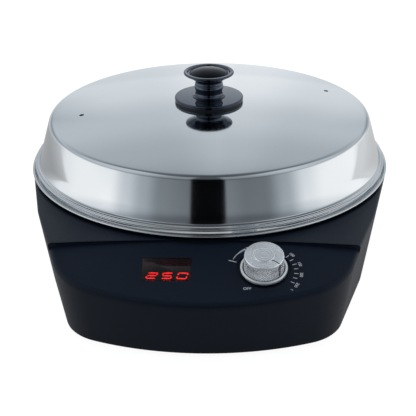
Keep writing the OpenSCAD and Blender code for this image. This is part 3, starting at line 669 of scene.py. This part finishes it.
# Middle of each bar, and whether it stands upright
bars = {
    "top": (figure_w / 2, figure_h - bar_t / 2, 0), "middle": (figure_w / 2, figure_h / 2, 0),
    "bottom": (figure_w / 2, bar_t / 2, 0), "upper_left": (bar_t / 2, figure_h * 0.75, 1),
    "upper_right": (figure_w - bar_t / 2, figure_h * 0.75, 1), "lower_left": (bar_t / 2, figure_h * 0.25, 1),
    "lower_right": (figure_w - bar_t / 2, figure_h * 0.25, 1)}
unlit = {"2": ("upper_left", "lower_right"), "5": ("upper_right", "lower_left"), "0": ("middle",)}


def figures(grow, low, high):
    """Bars of the shown number, as slanted hexagons, with an outline grown by a distance."""
    bm = bmesh.new()
    for place, digit in enumerate(shown):
        for name, (x, y, upright) in bars.items():
            if name in unlit[digit]:
                continue
            length = (figure_h / 2 if upright else figure_w) - bar_t - bar_gap
            made = bmesh.ops.create_circle(bm, segments=6, radius=bar_t / 2 + grow, cap_ends=True)["verts"]
            for v in made:
                v.co.x += math.copysign(length / 2 - bar_t / 2, v.co.x) if abs(v.co.x) > 0.01 else 0
                if upright:
                    v.co.x, v.co.y = -v.co.y, v.co.x
                v.co.x += x + (y + v.co.y) * figure_lean + figure_left + place * figure_pitch
                v.co.y += y + figure_low
                v.co.z = low
    raised = bmesh.ops.extrude_face_region(bm, geom=bm.faces[:])["geom"]
    raised = [v for v in raised if isinstance(v, bmesh.types.BMVert)]
    bmesh.ops.translate(bm, verts=raised, vec=(0, 0, high - low))
    bmesh.ops.recalc_face_normals(bm, faces=bm.faces)
    return bm


# Light-emitting segments: bright red, with a dim spread in the resin round them
glow_red = material("lit segments", "#ff5038", {
    "Roughness": 0.4, "Emission Color": linear("#ff5a48"), "Emission Strength": 30.0})
grain(glow_red, 0.8, 0.004)
lit_bars = piece("lit_figures", moved(figures(0, face_h, face_h + 0.3), pan_frame @ on_panel), glow_red)
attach(lit_bars, "base")
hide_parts("display_digits")
halo = material("light spread round the segments", "#3a0604", {
    "Roughness": 0.6, "Emission Color": linear("#c01808"), "Emission Strength": 2.0})
grain(halo, 0.8, 0.004)
spread = piece("figure_glow", moved(figures(glow_reach, face_h, face_h + 0.1), pan_frame @ on_panel), halo)
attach(spread, "base")

# Panel print
# Screen print round the dial: tick marks, plain temperatures, a unit mark, OFF and a tapering arc.
print_h = 0.04
scale_centre = Matrix.Translation((1.2, -3.3, 0))
tick_r = 32.6
tick_length = 4.4
number_r = 37.9
number_size = 4.5
scale_turns = [46.8 + 12.2 * i for i in range(7)]
unit_at = (28.2, -30.4)
off_at = (-17.4, -29.2)
arc_centre = Matrix.Translation((1.6, -0.6, 0))
arc_r = 37.0
arc_start = 294
arc_span = 31
arc_steps = 16


def lettering(text, size, x, y, turn):
    """Raised print of a text, centred at a place on the panel and turned in degrees."""
    curve = bpy.data.curves.new("print", "FONT")
    curve.body = text
    curve.size = size
    curve.align_x = "CENTER"
    curve.align_y = "CENTER"
    curve.extrude = print_h / 2
    curve.offset = size * 0.012
    made = bpy.data.objects.new("print", curve)
    bpy.context.scene.collection.objects.link(made)
    bm = bmesh.new()
    bm.from_mesh(made.evaluated_get(bpy.context.evaluated_depsgraph_get()).to_mesh())
    bpy.data.objects.remove(made)
    spot = Matrix.Translation((x, y, print_h / 2)) @ Matrix.Rotation(math.radians(turn), 4, "Z")
    return moved(bm, spot)


def joined(parts):
    bm = bmesh.new()
    for part in parts:
        mesh = bpy.data.meshes.new("part")
        part.to_mesh(mesh)
        part.free()
        bm.from_mesh(mesh)
        bpy.data.meshes.remove(mesh)
    return bm


def at_turn(turn, r):
    """Place at a clock turn in degrees and a radius from the dial's axis."""
    return r * math.sin(math.radians(turn)), r * math.cos(math.radians(turn))


def stroke(length, width, turn, r):
    """Printed bar that points away from the dial."""
    bm = block(width, length, 0, print_h)
    return moved(bm, Matrix.Rotation(math.radians(-turn), 4, "Z") @ Matrix.Translation((0, r, 0)))


marks = [moved(stroke(tick_length, 0.8, turn, tick_r), scale_centre) for turn in scale_turns]
for turn, number in zip(scale_turns[0::2], ("100", "150", "200", "250")):
    marks.append(moved(lettering(number, number_size, *at_turn(turn + 2, number_r), -turn), scale_centre))
marks.append(lettering("°C", 2.7, *unit_at, 0))
marks.append(lettering("OFF", 4.8, *off_at, 0))
# The arc starts with a bar and widens to a square end
marks.append(moved(stroke(8.6, 0.9, arc_start - 5, arc_r - 0.6), arc_centre))
for i in range(arc_steps):
    share = (i + 0.5) / arc_steps
    marks.append(moved(stroke(0.5 + 1.7 * share, 1.95, arc_start + arc_span * share, arc_r), arc_centre))
marks.append(moved(stroke(2.6, 5.2, arc_start + arc_span + 6.5, arc_r), arc_centre))
# Ink, screen printed: pale grey and matt
ink = material("screen printed ink", "#b9bfc6", {"Roughness": 0.6})
grain(ink, 0.6, 0.005)
legend = piece("panel_print", moved(joined(marks), pan_frame @ on_panel), ink)
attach(legend, "base")

# Dial
# Turned from aluminium bar: a faced top with a raised centre, a rounded edge and a diamond knurl on its
# side, in a chromed bezel. A dark line runs from the centre to the rim and down the side as a pointer.
dial_r = 21.2
dial_h = 21
bezel_r = 24.9
bezel_in_r = 22.4
bezel_round = 1.5
# Satin chrome plate: bright all round, with soft highlights
chrome = material("satin chrome plate", "#fafcff", {"Metallic": 0.5, "Roughness": 0.2})
grain(chrome, 1.2, 0.01)
bezel = turned(
    [(bezel_in_r, pad_h), (bezel_r, pad_h)] + arc(bezel_r - bezel_round, pad_h + 1.6, bezel_round, 0, 110, 12)
    + [(bezel_in_r, pad_h + 2.6)], 160, closed=True)
bright_ring = piece("dial_ring", moved(bezel, pan_frame @ on_panel), chrome, 40)
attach(bright_ring, "base")
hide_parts("dial_bezel")

dial_in_r = 8.6
dial_low = 1.4
knurl_low = 3.0
knurl_high = dial_h - 3.6
knurl_draft = 0.4
knurl_count = 48
knurl_deep = 0.8
knurl_rows = 40
# Two sets of slanting grooves cross, each cut by the top of a wave
knurl_reach = 0.3
step_r = dial_r - 1.0
edge_r = 1.4
centre_r = 10.0
side = [(dial_r - knurl_draft * i / knurl_rows, knurl_low + (knurl_high - knurl_low) * i / knurl_rows)
        for i in range(knurl_rows + 1)]
dial = turned(
    [(0, dial_h - 2.9), (dial_in_r, dial_h - 3.4), (dial_in_r, dial_low), (dial_r - 2, dial_low)]
    + [(dial_r - 1.8, 2.6), (dial_r - 0.6, 2.7)] + side
    + [(step_r, dial_h - 3.3), (step_r, dial_h - 2.8), (dial_r - 0.4, dial_h - 2.6)]
    + arc(dial_r - 1.8, dial_h - 2.2, edge_r, 10, 82, 8) + [(centre_r + 2.2, dial_h - 0.9)]
    + arc(centre_r + 1.5, dial_h - 0.9, 0.7, 0, -180, 8) + arc(centre_r, dial_h - 0.9, 0.9, 25, 90, 6)
    + [(4.0, dial_h - 0.05), (0, dial_h)], knurl_count * 8)
for v in dial.verts:
    if knurl_low + 0.01 < v.co.z < knurl_high - 0.01 and v.co.to_2d().length > step_r - 5:
        turn = math.atan2(v.co.y, v.co.x) * knurl_count / 2
        climb = (v.co.z - knurl_low) * knurl_count / 2 / dial_r
        wave = max(abs(math.sin(turn + climb)), abs(math.sin(turn - climb)))
        v.co.xy *= 1 - knurl_deep * max(0, wave - 1 + knurl_reach) / knurl_reach / dial_r
pointer_turn = 130
dial = moved(dial, Matrix.Rotation(math.radians(-pointer_turn), 4, "Z"))
# Aluminium, faced on a lathe: satin, with rings round the axis, drawn coarser than real ones so that they
# show
aluminium = material("turned aluminium", "#fafcff", {"Metallic": 0.75, "Roughness": 0.24})
ring_pitch = 0.9
ring_deep = 0.06
speck_size = 0.7
tree = aluminium.node_tree
place = add(tree, "TexCoord").outputs["Object"]
axis = pan_frame @ on_panel @ Vector((0, 0, 0))
from_axis = add(tree, "VectorMath", {0: place, 1: axis}, operation="DISTANCE").outputs["Value"]
wave = add(tree, "Math", {0: from_axis, 1: 2 * math.pi / (ring_pitch * MM)}, operation="MULTIPLY").outputs[0]
ridge = add(tree, "Math", {0: wave}, operation="SINE").outputs[0]
speck = add(tree, "TexNoise", {"Vector": place, "Scale": 1 / (speck_size * MM), "Detail": 2.0}).outputs[0]
relief = add(tree, "Math", {0: speck, 1: 2.0, 2: ridge}, operation="MULTIPLY_ADD").outputs[0]
cut_marks = add(tree, "Bump", {"Height": relief, "Distance": ring_deep * MM}).outputs[0]
tree.links.new(cut_marks, tree.nodes["Principled BSDF"].inputs["Normal"])
metal_dial = piece("turned_dial", moved(dial, pan_frame @ on_panel), aluminium, 30)
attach(metal_dial, "dial")
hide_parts("temperature_dial")
line_w = 1.0
line_top = block(line_w, 9.2, dial_h - 1.02, dial_h - 0.80, (0, 15.6))
line_side = block(line_w, 0.5, knurl_low, dial_h - 2.4, (0, dial_r - 0.12))
line = moved(joined([line_top, line_side]), Matrix.Rotation(math.radians(-pointer_turn), 4, "Z"))
# A black, dull line on the dial's top, where the solid dial has a groove, and down its side
pointer_black = material("black pointer line", "#101114", {"Roughness": 0.5})
grain(pointer_black, 0.6, 0.005)
pointer = piece("dial_pointer", moved(line, pan_frame @ on_panel), pointer_black)
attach(pointer, "dial")
# Steel, turned: mid grey and half bright
shaft_steel = material("turned steel", "#b4b6b8", {"Metallic": 1.0, "Roughness": 0.3})
grain(shaft_steel, 1.0, 0.01)
dress(shaft_steel, "dial_shaft")

# Lid
# Spun stainless sheet with a nearly flat crown, a rounded shoulder, a sloping skirt and a rolled rim,
# mirror polished. Two small steam holes are punched in the crown.
lid_r = 214.5
lid_t = 1.0
crown_z = ring_z + 78.7
crown_span = 188
crown_rise = 15.3
crown_r = (crown_span ** 2 + crown_rise ** 2) / (2 * crown_rise)
shoulder = (188.4, ring_z + 56)
shoulder_r = 7.2
# Rolled rim, the two small turns that lead to it, and the fillet above them
rim_r = 1.2
rim = (lid_r - rim_r, ring_z + 8.4)
turn_r = 0.8
inner_turn = (211.5, ring_z + 11.4)
outer_turn = (213.1, ring_z + 10.4)
fillet_r = 1.5
fillet = (210.32, ring_z + 13.9)
flare_r = 115
flare_turn = 7
skirt_lean = 15.95
lid_steps = 288
flare_start = 180 + skirt_lean
foot_turn = flare_start + flare_turn
flare = arc(*fillet, fillet_r - flare_r, foot_turn, foot_turn, 1)[0]


def crown(drop, steps=24):
    radii = [crown_span * i / steps for i in range(steps + 1)]
    return [(r, crown_z - drop - crown_r + math.sqrt(crown_r ** 2 - r ** 2)) for r in radii]


lid = turned(
    crown(0) + arc(*shoulder, shoulder_r, 80, skirt_lean, 14)
    + arc(*flare, flare_r, flare_start, foot_turn, 12) + arc(*fillet, fillet_r, foot_turn, 266, 10)[1:]
    + arc(*inner_turn, turn_r, 84, 5, 8) + arc(*outer_turn, turn_r, 175, 255, 8)
    + arc(*rim, rim_r, 100, -180, 22) + [(211.5, ring_z + 9.6), (211.2, ring_z + 10.9)]
    + arc(*fillet, fillet_r + lid_t, 262, foot_turn, 8)
    + arc(*flare, flare_r + lid_t, foot_turn, flare_start, 6)[1:]
    + arc(*shoulder, shoulder_r - lid_t, skirt_lean, 80, 10) + crown(lid_t)[::-1], lid_steps)
steam_hole_r = 2.9
for out, turn in ((155, 190), (160, 23.5)):
    hole = moved(cylinder(steam_hole_r, ring_z + 40, ring_z + 90, steps=32), Matrix.Translation((out, 0, 0)))
    lid = combined(lid, moved(hole, Matrix.Rotation(math.radians(turn), 4, "Z")), "DIFFERENCE")
lid_piece = piece("spun_lid", moved(lid, pan_frame), polished, 40)
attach(lid_piece, "lid")
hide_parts("lid_shell")

# Knob
# A silicone gasket, a stiff disc, a waisted neck with a dished cap and a crowned insert, moulded in black
# phenolic and drawn down by one screw from inside the lid.
# Phenolic with a gloss finish: black, with sharp cool reflections
cool = linear("#cfe0ff")
gloss = material("gloss phenolic", "#030508", {"Roughness": 0.05, "IOR": 2.0, "Specular Tint": cool})
moulded = grain(gloss, 6, 0.004)
vary(gloss, moulded, "Roughness", 0.04, 0.07)
disc_r = 41.5
disc_h = 4
gasket_r = disc_r - 0.4
gasket_h = 1.3

# The gasket's underside follows the crown
under = [(r, z) for r, z in crown(0) if r < gasket_r]
gasket_low = crown_z - crown_r + math.sqrt(crown_r ** 2 - gasket_r ** 2)
gasket_top = crown_z + gasket_h
gasket = turned(under + [(gasket_r, gasket_low), (gasket_r, gasket_top), (0, gasket_top)], 160)
# Silicone, moulded: dull black
silicone = material("black silicone", "#0b0c0d", {"Roughness": 0.5})
grain(silicone, 0.8, 0.01)
seal = piece("knob_gasket", moved(gasket, pan_frame), silicone, 40)
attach(seal, "lid")
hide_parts("knob_lower_disc")

disc_low_r = 0.8
disc_high_r = 1.2
disc_top = gasket_top + disc_h
disc = turned(
    [(0, gasket_top)] + arc(disc_r - disc_low_r, gasket_top + disc_low_r, disc_low_r, -90, 0, 6)
    + [(disc_r, disc_top - 1.0)] + arc(disc_r - 1.4, disc_top - disc_high_r, disc_high_r, 20, 90, 6)
    + [(0, disc_top)], 160)
disc_piece = piece("knob_disc", moved(disc, pan_frame), gloss, 40)
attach(disc_piece, "lid")
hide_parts("knob_upper_disc")

# Neck and cap from the foot up: a hollow, a bulge, a hollow, the flared cap, its rolled lip and its dish
knob_z = disc_top
foot_r = 19.8
cap_r = 30.3
dish_z = knob_z + 29.3
dish_r = 23.4
neck = turned(
    [(0, knob_z), (foot_r, knob_z), (foot_r, knob_z + 0.8)] + arc(20.8, knob_z + 5.2, 4.6, 258, 196, 10)
    + [(16.3, knob_z + 8.2)] + arc(11.2, knob_z + 12.2, 6.3, -20, 36, 10)
    + arc(21.0, knob_z + 18.4, 4.6, 205, 150, 8)
    + [(17.9, knob_z + 21.8), (20.4, knob_z + 22.9), (23.6, knob_z + 24.9), (27, knob_z + 27.4)]
    + arc(cap_r - 1.4, knob_z + 29.6, 1.4, -60, 90, 12)
    + arc(cap_r - 3.8, knob_z + 33.4, 2.6, 290, 262, 4)
    + [(24.9, dish_z - 0.4), (dish_r + 0.2, dish_z - 0.6), (dish_r, dish_z), (0, dish_z)], 160)
knob = piece("waisted_knob", moved(neck, pan_frame), gloss, 40)
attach(knob, "lid")
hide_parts("lid_knob")

# Insert in the cap: phenolic, polished less, so it is dark with one soft light at its back
satin = material("polished phenolic", "#080d13", {"Roughness": 0.16, "IOR": 1.22, "Specular Tint": cool})
grain(satin, 0.5, 0.004)
dome_r = 23.3
dome_h = 5.05
ball_r = (dome_r ** 2 + dome_h ** 2) / (2 * dome_h)
dome_turn = math.degrees(math.asin(dome_r / ball_r))
dome = arc(0, dish_z + dome_h - ball_r, ball_r, 90 - dome_turn, 90, 16)
insert = turned([(0, dish_z + 0.01), (dome_r, dish_z + 0.01)] + dome, 128)
button = piece("knob_insert", moved(insert, pan_frame), satin, 40)
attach(button, "lid")
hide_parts("knob_button")
